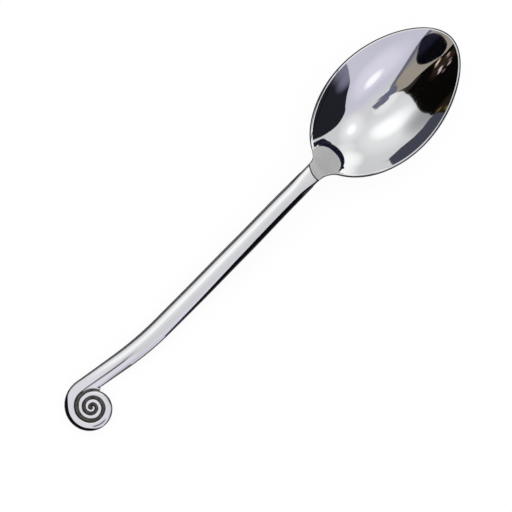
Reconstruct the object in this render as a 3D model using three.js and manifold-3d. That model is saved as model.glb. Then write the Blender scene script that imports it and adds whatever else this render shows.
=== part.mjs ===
// Table spoon: a pressed bowl brazed to a forged handle whose far end is rolled into a flat spiral.
// Millimetres, +X towards the tip of the bowl, +Z up, resting on the plane Z = 0.
// While it is built, X = 0 is the seam across the neck.
import * as THREE from "three";
import { mergeVertices } from "three/addons/utils/BufferGeometryUtils.js";
import Module from "manifold-3d";

const wasm = await Module();
wasm.setup();

// Bowl
const bowlLength = 69.4;
const bowlWidth = 44;
const tipNarrowing = 0.062; // share of the width that the tip half loses and the heel half gains
const endNarrowing = 0.078; // share of the width that both ends lose, which points them
const rimAtHeel = 12.8; // heights of the rim above the table
const rimAtMiddle = 10; // control height of the rim's sag
const rimAtTip = 9;
const rimWidth = 1.3; // flat land round the mouth, with its rounded edge
const rimRounding = 0.4;
const bowlWall = 1.4;
const deepestPoint = 30.5; // from the heel to the lowest point of the dish
const dishPower = 2.3; // 2 is a parabola, and more gives a flatter floor with steeper walls

// Neck, between the seam and the heel of the bowl
const neckLength = 4.7;
const neckWidth = 7.6;
const neckFillet = 8; // plan radius between the neck and the bowl's outline
const tongueLength = 11.7; // from the seam
const tongueWidth = 12;
const tongueNose = 4.3; // length of the rounded end
const tongueSquareness = 2.3; // 2 is an ellipse
const tongueDepth = 9;
const tongueDraft = 3.6; // how far the foot of the tongue's wall stands out from its top edge
const heelLength = 14; // the drop under the bowl, from the seam
const heelWidth = 4.4; // at its far end
const heelCover = 0.3; // metal that hides its far end on each side, inside the wall of the dish
const flareDepth = 3; // under the rim, where the fillet runs out on the outline
const padDrop = 0.6; // from the stem's crest down to the tongue
const neckSquareness = 4; // of the oval section on both sides of the seam
const neckRun = 9; // length of stem over which the section becomes the stem's own
const seamBulge = 0.9;
const seamGap = 0.3;

// Brazed joint, a tang in a slot
const tangLength = 9;
const tangWidth = 3.2;
const tangHeight = 1.6;
const brazeFilm = 0.15;

// Stem
const stemThickness = 5.6;
const stemSquareness = 2.4; // of its oval section: 2 is an ellipse
const stemMiddleWidth = 8.2;
const stemEndWidth = 7.8; // where it meets the scroll
const stemReach = 120.8; // seam to the centre of the scroll, along X
const fallHeight = 9.5; // control height of the stem's fall to the scroll, next to the neck
const bendStart = 80; // from the seam, where the stem starts to lean towards the scroll
const bendEnd = 103;
const scrollLean = THREE.MathUtils.degToRad(10);

// Scroll, a ridge that winds inwards over a plate
const scrollTurns = 2.55;
const innerRadius = 0.8; // of the ridge's centre line, at its inner end
const innerPitch = 2.47; // growth of that radius in a turn, at the inner end
const pitchGrowth = 0.23; // further growth, for each turn squared
const innerRidgeWidth = 1.2;
const ridgeWidthGrowth = 0.2; // for each turn squared
const outerFlank = 3.1; // from the ridge's centre line to the outer edge, where the stem comes in
const flankTurns = 0.9; // over which the outer flank narrows to the ridge
const scrollThickness = 5;
const plateThickness = 3.1;
const ridgeClearance = 0.25; // from the table to the rounded foot of the ridge
const ridgeRunOut = 28; // length of stem over which the ridge rises out of it
const ridgeStartWidth = 3.4; // where it starts inside the stem
const ridgeSink = 0.3; // how deep it starts under the stem's surface
const ridgeSquareness = 3.2;
const ridgeShift = 0.75; // from the stem's centre line out to the ridge's, where the scroll starts
const flankCover = 0.8; // how far the ridge's flank covers the end of the stem
const scrollEntryAngle = THREE.MathUtils.degToRad(75);

// Facets
const outlineSteps = 64;
const dishSteps = 12;
const ringSpread = 1.3; // more than 1 draws the rings towards the floor of the dish
const sectionSteps = 20;
const stemSteps = 34;
const stepsPerTurn = 34;
const neckSteps = 7;
const endSteps = 3;
const nearby = 0.01; // a small step, for directions and for halving

// A closed solid from rings of points that have the same count, with a fan over each end ring.
function skin(rings) {
  const count = rings[0].length;
  const points = rings.flat();
  const middles = [rings[0], rings.at(-1)].map((ring) =>
    ring.reduce((sum, p) => sum.add(p), new THREE.Vector3()).divideScalar(count),
  );
  const firstMiddle = points.length;
  const lastRing = points.length - count;
  const index = [];
  for (let j = 0; j < count; j++) {
    const k = (j + 1) % count;
    index.push(firstMiddle, k, j, firstMiddle + 1, lastRing + j, lastRing + k);
    for (let ring = 0; ring < lastRing; ring += count) {
      index.push(ring + j, ring + k, ring + count + j);
      index.push(ring + k, ring + count + k, ring + count + j);
    }
  }
  const geometry = new THREE.BufferGeometry().setFromPoints([...points, ...middles]);
  return geometry.setIndex(index);
}

function solid(geometry) {
  geometry.deleteAttribute("normal");
  geometry.deleteAttribute("uv");
  const { attributes, index } = mergeVertices(geometry);
  const triVerts = new Uint32Array(index.array);
  const mesh = new wasm.Mesh({ numProp: 3, vertProperties: attributes.position.array, triVerts });
  return new wasm.Manifold(mesh);
}

function piece(name, made, material) {
  const { numProp, vertProperties, triVerts } = made.getMesh();
  const points = new THREE.InterleavedBuffer(vertProperties, numProp);
  const geometry = new THREE.BufferGeometry();
  geometry.setAttribute("position", new THREE.InterleavedBufferAttribute(points, 3, 0));
  geometry.setIndex(new THREE.BufferAttribute(triVerts, 1));
  const shown = new THREE.Mesh(geometry, material);
  shown.name = name;
  return shown;
}

function box(low, high) {
  const size = new THREE.Vector3().subVectors(high, low);
  const middle = new THREE.Vector3().addVectors(low, high).divideScalar(2);
  return solid(new THREE.BoxGeometry(size.x, size.y, size.z).translate(middle.x, middle.y, middle.z));
}

const signedPower = (value, power) => Math.sign(value) * Math.abs(value) ** power;
const mix = THREE.MathUtils.lerp;
const ease = THREE.MathUtils.smoothstep;

// A bar's section: points (side, z) of an oval that may be wider on one side.
function oval({ left, right, bottom, top, squareness }) {
  const middle = (bottom + top) / 2;
  const points = [];
  for (let j = 0; j < sectionSteps; j++) {
    const angle = (j / sectionSteps) * 2 * Math.PI;
    const side = signedPower(Math.cos(angle), 2 / squareness);
    const rise = signedPower(Math.sin(angle), 2 / squareness);
    points.push([side * (side > 0 ? left : right), middle + (rise * (top - bottom)) / 2]);
  }
  return points;
}

// The bowl's outline, an egg: angle 0 is the tip and pi the heel.
function outline(angle, inset = 0) {
  const along = Math.cos(angle);
  const across = Math.sin(angle);
  const narrowing = 1 - tipNarrowing * along - endNarrowing * along ** 2;
  const slope = tipNarrowing + 2 * endNarrowing * along;
  const tangent = new THREE.Vector2(
    (-across * bowlLength) / 2,
    (bowlWidth / 2) * (along * narrowing + across ** 2 * slope),
  ).normalize();
  return new THREE.Vector2(
    neckLength + (bowlLength / 2) * (1 + along) - tangent.y * inset,
    (bowlWidth / 2) * across * narrowing + tangent.x * inset,
  );
}

// The rim sags from the heel to the tip, and the neck is level with the heel.
function rimHeight(x) {
  const share = Math.max(0, (x - neckLength) / bowlLength);
  const rest = 1 - share;
  return rest ** 2 * rimAtHeel + 2 * share * rest * rimAtMiddle + share ** 2 * rimAtTip;
}

// One ring of the dish: the outline drawn in towards the deepest point as the depth grows.
function dishRing({ reach, inset, floor, drop }) {
  const centre = neckLength + deepestPoint;
  const ring = [];
  for (let j = 0; j < outlineSteps; j++) {
    const edge = outline((j / outlineSteps) * 2 * Math.PI, inset);
    const rim = rimHeight(edge.x) - drop;
    const height = floor + (rim - floor) * reach ** dishPower;
    ring.push(new THREE.Vector3(mix(centre, edge.x, reach), edge.y * reach, height));
  }
  return ring;
}

function dishRings({ inset, floor, drop }) {
  const rings = [];
  for (let step = 1; step <= dishSteps; step++) {
    rings.push(dishRing({ reach: (step / dishSteps) ** ringSpread, inset, floor, drop }));
  }
  return rings;
}

const underside = dishRings({ inset: 0, floor: 0, drop: rimRounding });
const rimEdge = dishRing({ reach: 1, inset: rimRounding, floor: 0, drop: 0 });
const hollow = dishRings({ inset: rimWidth, floor: bowlWall, drop: 0 });
const dish = solid(skin([...underside, rimEdge, ...hollow.reverse()]));

// The tongue: a pad level with the rim, with a drafted wall down to the floor of the dish.
function tongueRing(depth) {
  const grow = (tongueDraft * depth) / tongueDepth;
  const ring = [];
  for (let j = 0; j <= sectionSteps; j++) {
    const angle = (j / sectionSteps - 0.5) * Math.PI;
    const along = signedPower(Math.cos(angle), 2 / tongueSquareness);
    const across = signedPower(Math.sin(angle), 2 / tongueSquareness);
    const x = tongueLength - tongueNose + (tongueNose + grow) * along;
    const y = (tongueWidth / 2 + grow) * across;
    ring.push(new THREE.Vector3(x, y, rimHeight(x - grow * along) - depth));
  }
  for (const side of [1, -1]) {
    const x = neckLength / 2;
    const y = (side * neckWidth) / 2;
    ring.push(new THREE.Vector3(x, y, rimHeight(x) - depth));
  }
  return ring;
}

const aboveRim = dishRing({ reach: 1, inset: rimRounding, floor: 0, drop: -tongueDepth });
const filledDish = solid(skin([...underside, aboveRim]));
const tongue = solid(skin([tongueRing(tongueDepth), tongueRing(0)]));

// Where a piece of the neck meets the seam: the bowl's side bulges towards the handle.
const seamShift = (side, halfWidth) => -seamBulge * (1 - (side / halfWidth) ** 2);
const stemTop = rimAtHeel + padDrop;
const stemBottom = stemTop - stemThickness;

// A bar along +X in the neck, cut to the seam at its start and kept below the rim's level.
function neckBar({ length, widthAt, bottomAt, topAt }) {
  const rings = [];
  for (let step = 0; step <= neckSteps; step++) {
    const share = step / neckSteps;
    const halfWidth = widthAt(share) / 2;
    const section = oval({
      left: halfWidth,
      right: halfWidth,
      bottom: bottomAt(share),
      top: topAt(share),
      squareness: mix(neckSquareness, stemSquareness, share),
    });
    const ring = section.map(([side, z]) => {
      const x = share * length + (1 - share) * seamShift(side, halfWidth);
      return new THREE.Vector3(x, side, Math.min(z, rimHeight(x)));
    });
    rings.push(ring);
  }
  return solid(skin(rings));
}

// The flare's sides are arcs that touch the neck's sides and the bowl's outline. The arc's centre
// lies one radius outside both, and the angle of its touch on the outline is found by halving.
let touchAngle = Math.PI / 2;
for (let step = touchAngle / 2; step > nearby ** 4; step /= 2) {
  const tooWide = outline(touchAngle + step, -neckFillet).y > neckWidth / 2 + neckFillet;
  touchAngle += tooWide ? step : 0;
}
const filletCentre = outline(touchAngle, -neckFillet).x;
const flareLength = outline(touchAngle).x;

function flareWidth(share) {
  const run = Math.max(0, share * flareLength - filletCentre);
  return neckWidth + 2 * (neckFillet - Math.sqrt(neckFillet ** 2 - run ** 2));
}

const flare = neckBar({
  length: flareLength,
  widthAt: flareWidth,
  bottomAt: (share) => mix(stemBottom, rimAtHeel - flareDepth, share),
  topAt: () => stemTop,
});

// Height of the dish on its centre line, on the heel's side.
function heelHeight(x, floor) {
  const reach = (neckLength + deepestPoint - x) / deepestPoint;
  return floor + (rimAtHeel - floor) * reach ** dishPower;
}

// The heel sinks from the stem's section into the wall of the dish.
const heel = neckBar({
  length: heelLength,
  widthAt: (share) => mix(neckWidth, heelWidth, share),
  bottomAt: (share) => mix(stemBottom, heelHeight(heelLength, 0) + heelCover, share ** 2),
  topAt: (share) => heelHeight(share * heelLength, bowlWall) - heelCover,
});

const tangMiddle = (stemBottom + rimAtHeel) / 2;
const tangBox = (margin, start, end) =>
  box(
    new THREE.Vector3(start, -tangWidth / 2 - margin, tangMiddle - tangHeight / 2 - margin),
    new THREE.Vector3(end, tangWidth / 2 + margin, tangMiddle + tangHeight / 2 + margin),
  );
const tang = tangBox(0, -tangLength, neckLength);
const bowl = dish.add(tongue.intersect(filledDish)).add(flare).add(heel).add(tang);

// The handle's centre line in plan: straight, then leaning, then the spiral.
function spiral(turnsLeft) {
  return innerRadius + innerPitch * turnsLeft + pitchGrowth * turnsLeft ** 2;
}

const entryRadius = spiral(scrollTurns);
const scrollCentre = new THREE.Vector2(-stemReach, 0);
const entry = new THREE.Vector2(entryRadius, 0).rotateAround(new THREE.Vector2(), scrollEntryAngle);
const bendCorner = (bendStart + bendEnd) / 2;
const leanAt = (distance) => (distance - bendCorner) * Math.tan(scrollLean);
const entryDistance = stemReach - entry.x;
scrollCentre.y = leanAt(entryDistance) - entry.y;

const stemPlan = new THREE.Path();
stemPlan.moveTo(-seamGap, 0);
stemPlan.lineTo(-bendStart, 0);
stemPlan.quadraticCurveTo(-bendCorner, 0, -bendEnd, leanAt(bendEnd));
stemPlan.lineTo(-entryDistance, leanAt(entryDistance));

const neckMiddle = stemTop - stemThickness / 2;
const scrollMiddle = scrollThickness / 2;
const fall = new THREE.CubicBezierCurve(
  new THREE.Vector2(0, neckMiddle),
  new THREE.Vector2(1 / 3, fallHeight),
  new THREE.Vector2(2 / 3, scrollMiddle),
  new THREE.Vector2(1, scrollMiddle),
);

// A ring of a bar's section, standing upright across its direction.
function barRing(place, direction, section) {
  const left = new THREE.Vector2(-direction.y, direction.x);
  return section.map(([side, z]) => {
    const { x, y } = place.clone().addScaledVector(left, side);
    return new THREE.Vector3(x, y, z);
  });
}

function stemWidth(share) {
  const middle = 4 * share * (1 - share) * stemMiddleWidth;
  return middle + (1 - 2 * share) * ((1 - share) * neckWidth - share * stemEndWidth);
}

// The stem: an oval bar that sinks to the scroll's plate under the rising ridge.
const stemLength = stemPlan.getLength();
const ridgeStart = 1 - ridgeRunOut / stemLength;
const stemRings = [];
const ridgeRings = [];
for (let step = 0; step <= stemSteps; step++) {
  const share = step / stemSteps;
  const place = stemPlan.getPointAt(share);
  const direction = stemPlan.getTangentAt(share);
  const middle = fall.getPoint(share).y;
  const thickness = mix(stemThickness, scrollThickness, ease(share, 0, 1));
  const run = ease(share, ridgeStart, 1);
  const halfWidth = stemWidth(share) / 2;
  const top = middle + thickness / 2;
  const section = oval({
    left: halfWidth + run * ridgeShift,
    right: mix(halfWidth, outerFlank - flankCover, run),
    bottom: middle - thickness / 2 + run * ridgeClearance,
    top: mix(top, plateThickness, run),
    squareness: mix(neckSquareness, stemSquareness, ease(share * stemLength, 0, neckRun)),
  });
  const ring = barRing(place, direction, section);
  if (step === 0) {
    ring.forEach((p, j) => (p.x += seamShift(section[j][0], halfWidth)));
  }
  stemRings.push(ring);
  if (share > ridgeStart) {
    const buried = ridgeSink * (1 - run);
    const ridge = oval({
      left: mix(ridgeStartWidth / 2, ridgeHalfWidth(scrollTurns), run),
      right: mix(halfWidth - ridgeSink, outerFlank, run),
      bottom: middle - thickness / 2 + ridgeClearance + buried,
      top: top - buried,
      squareness: mix(stemSquareness, ridgeSquareness, run),
    });
    ridgeRings.push(barRing(place, direction, ridge));
  }
}
const stem = solid(skin(stemRings));

function ridgeHalfWidth(turnsLeft) {
  return (innerRidgeWidth + ridgeWidthGrowth * turnsLeft ** 2) / 2;
}

function spiralPlace(turnsLeft) {
  const angle = scrollEntryAngle + (scrollTurns - turnsLeft) * 2 * Math.PI;
  return new THREE.Vector2(spiral(turnsLeft), 0).rotateAround(new THREE.Vector2(), angle).add(scrollCentre);
}

function spiralRing({ turnsLeft, beyond = 0, narrowing = 1 }) {
  const direction = spiralPlace(turnsLeft - nearby).sub(spiralPlace(turnsLeft + nearby)).normalize();
  const place = spiralPlace(turnsLeft).addScaledVector(direction, beyond);
  const halfWidth = ridgeHalfWidth(turnsLeft) * narrowing;
  const flank = Math.max(0, 1 - (scrollTurns - turnsLeft) / flankTurns);
  const section = oval({
    left: halfWidth,
    right: mix(halfWidth, outerFlank, flank),
    bottom: ridgeClearance,
    top: scrollThickness,
    squareness: ridgeSquareness,
  });
  return barRing(place, direction, section);
}

const spiralSteps = Math.round(scrollTurns * stepsPerTurn);
for (let step = 1; step <= spiralSteps; step++) {
  ridgeRings.push(spiralRing({ turnsLeft: scrollTurns * (1 - step / spiralSteps) }));
}
// The ridge's inner end is round in plan.
for (let step = 1; step <= endSteps; step++) {
  const angle = (step / (endSteps + 1)) * (Math.PI / 2);
  const beyond = ridgeHalfWidth(0) * Math.sin(angle);
  ridgeRings.push(spiralRing({ turnsLeft: 0, beyond, narrowing: Math.cos(angle) }));
}
const ridge = solid(skin(ridgeRings));

const plateOutline = [];
for (let step = 0; step < stepsPerTurn; step++) {
  plateOutline.push(spiralPlace(scrollTurns - step / stepsPerTurn));
}
const plateShape = new THREE.Shape(plateOutline);
const plate = solid(new THREE.ExtrudeGeometry(plateShape, { depth: plateThickness, bevelEnabled: false }));

const slotEnd = -tangLength - brazeFilm;
const handle = stem.add(ridge).add(plate).subtract(tangBox(brazeFilm, slotEnd, neckLength));
const brazeSleeve = tangBox(brazeFilm, slotEnd, -seamGap - seamBulge).subtract(tang);

const steel = { color: 0xc9cbd0, metalness: 1, roughness: 0.08 };
const filler = { color: 0xd9d2bf, metalness: 1, roughness: 0.35 };
const spoon = new THREE.Group();
spoon.add(piece("bowl", bowl, new THREE.MeshStandardMaterial(steel)));
spoon.add(piece("handle", handle, new THREE.MeshStandardMaterial(steel)));
spoon.add(piece("braze_sleeve", brazeSleeve, new THREE.MeshStandardMaterial(filler)));

// The origin is below the middle of the whole length.
const reach = new THREE.Box3().setFromObject(spoon);
spoon.position.x = -(reach.min.x + reach.max.x) / 2;

export default spoon;
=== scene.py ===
import math

import bmesh
import bpy
from mathutils import Matrix, Vector

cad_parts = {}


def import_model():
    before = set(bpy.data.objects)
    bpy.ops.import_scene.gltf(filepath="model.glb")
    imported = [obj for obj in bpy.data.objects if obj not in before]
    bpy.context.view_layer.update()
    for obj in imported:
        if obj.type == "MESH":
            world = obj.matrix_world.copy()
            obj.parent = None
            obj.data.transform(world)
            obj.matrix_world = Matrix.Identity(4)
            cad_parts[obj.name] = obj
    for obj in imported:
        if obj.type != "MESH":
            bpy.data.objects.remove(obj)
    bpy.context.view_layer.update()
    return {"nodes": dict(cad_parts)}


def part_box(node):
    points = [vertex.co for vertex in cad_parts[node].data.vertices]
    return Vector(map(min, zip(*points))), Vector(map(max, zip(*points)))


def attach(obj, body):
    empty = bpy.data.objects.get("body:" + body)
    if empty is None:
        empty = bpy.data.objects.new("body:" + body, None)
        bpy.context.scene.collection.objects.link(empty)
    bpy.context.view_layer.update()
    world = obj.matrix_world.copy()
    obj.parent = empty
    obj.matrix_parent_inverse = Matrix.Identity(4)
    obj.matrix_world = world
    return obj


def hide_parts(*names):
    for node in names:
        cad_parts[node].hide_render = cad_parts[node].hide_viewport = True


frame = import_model()
mm = 0.001
print("frame loaded:", ", ".join(sorted(frame["nodes"])))


def mix(first, second, share):
    return first + (second - first) * share


def ease(value, low, high):
    share = min(max((value - low) / (high - low), 0), 1)
    return share * share * (3 - 2 * share)


def softMin(first, second, spread):
    near = max(0, 1 - abs(first - second) / spread)
    return min(first, second) - near * near * spread / 4


def softMax(first, second, spread):
    return -softMin(-first, -second, spread)


def signedPower(value, power):
    return math.copysign(abs(value) ** power, value)


def halving(tooLow, low, high, rounds=32):  # the value at which tooLow turns false
    for _ in range(rounds):
        middle = (low + high) / 2
        if tooLow(middle):
            low = middle
        else:
            high = middle
    return low


# Loops of vertices that grow into tubes and dishes

def startLoop(mesh, places):
    loop = bmesh.ops.create_circle(mesh, segments=len(places), radius=1)["verts"]
    for vert, place in zip(loop, places):
        vert.co = place
    return loop


def extrudeLoop(mesh, loop, places):
    edges = [mesh.edges.get(pair) for pair in zip(loop, loop[1:] + loop[:1])]
    made = bmesh.ops.extrude_edge_only(mesh, edges=edges)["geom"]
    fresh = {item for item in made if isinstance(item, bmesh.types.BMVert)}
    nextLoop = []
    for vert, place in zip(loop, places):
        follower = next(e.other_vert(vert) for e in vert.link_edges if e.other_vert(vert) in fresh)
        follower.co = place
        nextLoop.append(follower)
    return nextLoop


def growLoops(mesh, rings):  # a tube through the rings, and its first and last loop
    start = loop = startLoop(mesh, rings[0])
    for ring in rings[1:]:
        loop = extrudeLoop(mesh, loop, ring)
    return start, loop


def closeLoop(mesh, loop, place):  # draws an end loop together to a point
    point = extrudeLoop(mesh, loop, [place] * len(loop))
    bmesh.ops.pointmerge(mesh, verts=point, merge_co=place)


def slantSeam(mesh):  # the seam runs a little askew across the neck
    near, far = neckShape["seamFade"]
    for vert in mesh.verts:
        fade = 1 - ease(abs(vert.co.x), near, far)
        side = 2 * vert.co.y / neckShape["width"]
        vert.co.x += fade * (neckShape["seamShift"] + neckShape["seamSlant"] * side)


def driftAt(distance):  # how far the spoon's middle line strays to the side
    points = neckShape["drift"]
    return sum((high - low) * ease(distance, start, end) for (start, low), (end, high) in zip(points, points[1:]))


def strayAside(verts):
    for vert in verts:
        vert.co.y += driftAt(-vert.co.x)


finish = {"mergeDistance": 1e-5, "creaseAngle": 30}  # millimetres and degrees


def finishMesh(mesh, name):  # from millimetres at the seam to metres in the frame
    bmesh.ops.remove_doubles(mesh, verts=mesh.verts[:], dist=finish["mergeDistance"])
    bmesh.ops.recalc_face_normals(mesh, faces=mesh.faces[:])
    place = Matrix.Translation((seamX, 0, 0)) @ Matrix.Scale(mm, 4)
    bmesh.ops.transform(mesh, matrix=place, verts=mesh.verts[:])
    data = bpy.data.meshes.new(name)
    mesh.to_mesh(data)
    mesh.free()
    piece = bpy.data.objects.new(name, data)
    bpy.context.scene.collection.objects.link(piece)
    return piece


def joinPieces(piece, *others):  # one solid, with the other objects used up
    for other in others:
        union = piece.modifiers.new("join", "BOOLEAN")
        union.operation = "UNION"
        union.solver = "EXACT"
        union.object = other
        done = bpy.data.meshes.new_from_object(piece.evaluated_get(bpy.context.evaluated_depsgraph_get()))
        piece.modifiers.clear()
        piece.data = done
        bpy.data.objects.remove(other)


def smoothPiece(piece):
    piece.data.shade_smooth()
    piece.data.set_sharp_from_angle(angle=math.radians(finish["creaseAngle"]))


# Bowl, in millimetres from the seam across the neck

bowlShape = {
    "length": 69.4,
    "width": 43.7,
    "tipNarrowing": 0.062,  # share of the width lost at the tip and gained at the heel
    "endNarrowing": 0.078,  # share lost at both ends
    "rimAtHeel": 12.8,  # heights above the table
    "rimAtMiddle": 10,
    "rimAtTip": 9,
    "rimWidth": 1.1,
    "edgeWidth": 0.85,  # the rounded outer edge of the rim
    "edgeDepth": 2,
    "edgeRings": 8,
    "edgeGrowth": 0.2,  # share of the way to the tip over which the edge reaches its depth
    "rimLand": 0.2,
    "wall": 1.4,
    "deepestPoint": 30.5,  # from the heel
    "dishPower": 2.3,  # 2 is a parabola, and more gives steeper walls
    "straightFrom": 0.88,  # share of the reach from which the side walls are straight
    "straightTurn": (0.3, 1.1),
    "bendRun": 0.5,  # share of the way to the tip where the paths on the dish turn straight
    "rimSteps": 110,
    "floorRings": 46,
    "underSpread": 1.3,  # more than 1 draws the rings of the underside towards the edge
}
neckShape = {
    "length": 4.7,
    "width": 7.3,
    "fillet": 8,  # radius between the neck and the rim
    "tongueLength": 11.7,
    "tongueHalfWidth": 6,
    "tongueSquareness": 2.3,
    "tongueSteepness": 2.5,
    "tongueFillet": 0.5,
    "wallSpan": 3.6,
    "wallRings": 18,
    "padRings": 8,
    "heelLength": 14,
    "heelWidth": 4.4,
    "heelReach": 1.5,  # in heel lengths, and beyond it the underside is the dish alone
    "heelBlend": 1.6,
    "seamBlend": 0.01,
    "flareDepth": 3,
    "stemThickness": 5.6,
    "padDrop": 0.6,  # the tongue lies this far below the stem's top
    "seamBulge": 0.9,
    "seamGap": 0.06,
    "seamRounding": 0.2,
    "seamShift": 1,
    "seamSlant": 1,
    "seamFade": (0.5, 7),
    # how far the middle line strays aside, at distances from the seam
    "drift": ((-20, 0), (0, 0.42), (12, 0.36), (40, 0), (65, -0.2), (88, -0.2), (108, 0)),
    "flareRounding": 1,
    "squareness": 4,
    "tangLength": 9,
    "tangWidth": 3.2,
    "tangHeight": 1.6,
    "brazeFilm": 0.15,
    "steps": 44,
}
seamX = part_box("bowl")[1].x - (neckShape["length"] + bowlShape["length"]) * mm
stemTop = bowlShape["rimAtHeel"] + neckShape["padDrop"]
stemBottom = stemTop - neckShape["stemThickness"]
tangMiddle = (stemBottom + bowlShape["rimAtHeel"]) / 2
dishCentre = neckShape["length"] + bowlShape["deepestPoint"]


def egg(angle, inset=0):  # the outline: 0 is the tip and pi the heel
    along, across = math.cos(angle), math.sin(angle)
    narrowing = 1 - bowlShape["tipNarrowing"] * along - bowlShape["endNarrowing"] * along**2
    slope = bowlShape["tipNarrowing"] + 2 * bowlShape["endNarrowing"] * along
    halfLength, halfWidth = bowlShape["length"] / 2, bowlShape["width"] / 2
    tangent = Vector((-across * halfLength, halfWidth * (along * narrowing + across**2 * slope)))
    tangent.normalize()
    x = neckShape["length"] + halfLength * (1 + along) - tangent.y * inset
    return x, halfWidth * across * narrowing + tangent.x * inset


def rimHeight(x):
    share = max(0, (x - neckShape["length"]) / bowlShape["length"])
    sag = (1 - share) ** 2 * bowlShape["rimAtHeel"] + share**2 * bowlShape["rimAtTip"]
    return sag + 2 * share * (1 - share) * bowlShape["rimAtMiddle"]


def dishProfile(reach, bearing):  # 0 at the deepest point and 1 at the edge, and straight near the sides
    power = bowlShape["dishPower"]
    bend = mix(1, bowlShape["straightFrom"], ease(bearing, *bowlShape["straightTurn"]))

    def rise(share):
        curved = min(share, bend)
        return curved**power + max(share - bend, 0) * power * bend ** (power - 1)

    return rise(reach) / rise(1)


def dishHeight(x, y, inset, floor, drop):
    away = math.hypot(x - dishCentre, y)
    if away == 0:
        return floor
    bearing = math.atan2(abs(y), x - dishCentre)

    def before(angle):
        edgeX, edgeY = egg(angle, inset)
        return math.atan2(edgeY, edgeX - dishCentre) < bearing

    edgeX, edgeY = egg(halving(before, 0, math.pi), inset)
    reach = away / math.hypot(edgeX - dishCentre, edgeY)
    return floor + (rimHeight(edgeX) - drop - floor) * dishProfile(reach, bearing)


def tongueHeight(x, y):  # the drafted wall round the tongue
    back, nose = tongueCorner[0], neckShape["tongueLength"] - tongueCorner[0]
    power = neckShape["tongueSquareness"]

    def inside(grow):
        along = max(x - back, 0) / (nose + grow)
        across = abs(y) / (neckShape["tongueHalfWidth"] + grow)
        return along**power + across**power > 1

    return rimHeight(x) - neckShape["tongueSteepness"] * halving(inside, 0, bowlShape["width"])


def innerHeight(x, y):
    dish = dishHeight(x, y, bowlShape["rimWidth"], bowlShape["wall"], 0)
    return min(softMax(dish, tongueHeight(x, y), neckShape["tongueFillet"]), rimHeight(x))


def barBottom(y, halfWidth, bottom, middle, squareness):  # lower half of an oval bar
    side = min(abs(y) / halfWidth, 1)
    rise = (1 - side**squareness) ** (1 / squareness)
    return middle - (middle - bottom) * rise + max(abs(y) - halfWidth, 0) * neckShape["tongueSteepness"]


def flareWidth(x):
    run = min(max(x - filletCentre, 0), neckShape["fillet"])
    return neckShape["width"] / 2 + neckShape["fillet"] - math.sqrt(neckShape["fillet"] ** 2 - run**2)


def underHeight(x, y):
    dishDrop = bowlShape["edgeDepth"] + bowlShape["rimLand"]
    height = dishHeight(x, y, 0, 0, dishDrop)
    heelShare = x / neckShape["heelLength"]
    if heelShare < neckShape["heelReach"]:
        heelEnd = dishHeight(neckShape["heelLength"], 0, 0, 0, dishDrop)
        bottom = mix(stemBottom, heelEnd, max(heelShare, 0) ** 2)
        halfWidth = mix(neckShape["width"], neckShape["heelWidth"], max(heelShare, 0)) / 2
        squareness = mix(neckShape["squareness"], handleShape["squareness"], min(max(heelShare, 0), 1))
        heel = barBottom(y, halfWidth, bottom, bottom + neckShape["stemThickness"] / 2, squareness)
        flareShare = max(x, 0) / flareLength
        flareBottom = mix(stemBottom, bowlShape["rimAtHeel"] - neckShape["flareDepth"], flareShare)
        flare = barBottom(y, flareWidth(x), flareBottom, mix(flareBottom, stemTop, 0.5), squareness)
        blend = neckShape["seamBlend"] + neckShape["heelBlend"] * ease(x, 0, neckShape["length"])
        height = softMin(height, softMin(heel, flare, blend), blend)
    return height


touchAngle = halving(
    lambda angle: egg(angle, -neckShape["fillet"])[1] > neckShape["width"] / 2 + neckShape["fillet"],
    math.pi / 2,
    math.pi,
)
filletCentre = egg(touchAngle, -neckShape["fillet"])[0]
flareLength = egg(touchAngle)[0]
cornerAngle = halving(
    lambda angle: egg(angle, bowlShape["rimWidth"])[1] > neckShape["tongueHalfWidth"], math.pi / 2, math.pi
)
tongueCorner = egg(cornerAngle, bowlShape["rimWidth"])


def bowlPlan():  # mouth, outline, bend and edge of each path, from the nose of the tongue round to the tip
    plan = []
    rounding = neckShape["seamRounding"]
    steps = neckShape["steps"]
    for step in range(steps):
        share = step / steps
        turn = share * math.pi / 2
        power = 2 / neckShape["tongueSquareness"]
        nose = neckShape["tongueLength"] - tongueCorner[0]
        mouth = (
            tongueCorner[0] + nose * math.cos(turn) ** power,
            neckShape["tongueHalfWidth"] * math.sin(turn) ** power,
        )
        if share < 0.5:
            side = math.sin(share * math.pi)
            outer = (-neckShape["seamBulge"] * (1 - side**2), side * neckShape["width"] / 2)
            edge = (rounding, rounding)
        else:
            flare = 2 * share - 1
            outer = (flare * flareLength, flareWidth(flare * flareLength))
            edge = (mix(rounding, bowlShape["edgeWidth"], flare), mix(rounding, neckShape["flareRounding"], flare))
        plan.append((mouth, outer, 1, edge))
    for step in range(bowlShape["rimSteps"] + 1):
        share = step / bowlShape["rimSteps"]
        mouth = egg(mix(cornerAngle, 0, share), bowlShape["rimWidth"])
        outer = egg(mix(touchAngle, 0, share))
        depth = mix(neckShape["flareRounding"], bowlShape["edgeDepth"], ease(share, 0, bowlShape["edgeGrowth"]))
        plan.append((mouth, outer, 1 - ease(share, 0, bowlShape["bendRun"]), (bowlShape["edgeWidth"], depth)))
    return plan


def pathPlace(start, bend, share):  # from the edge in to the deepest point
    straight = 1 - share
    return mix(start[0], dishCentre, share), start[1] * mix(straight, 1 - share**2, bend)


def bothSides(places):
    return places + [(x, -y, z) for x, y, z in reversed(places[1:-1])]


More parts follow.
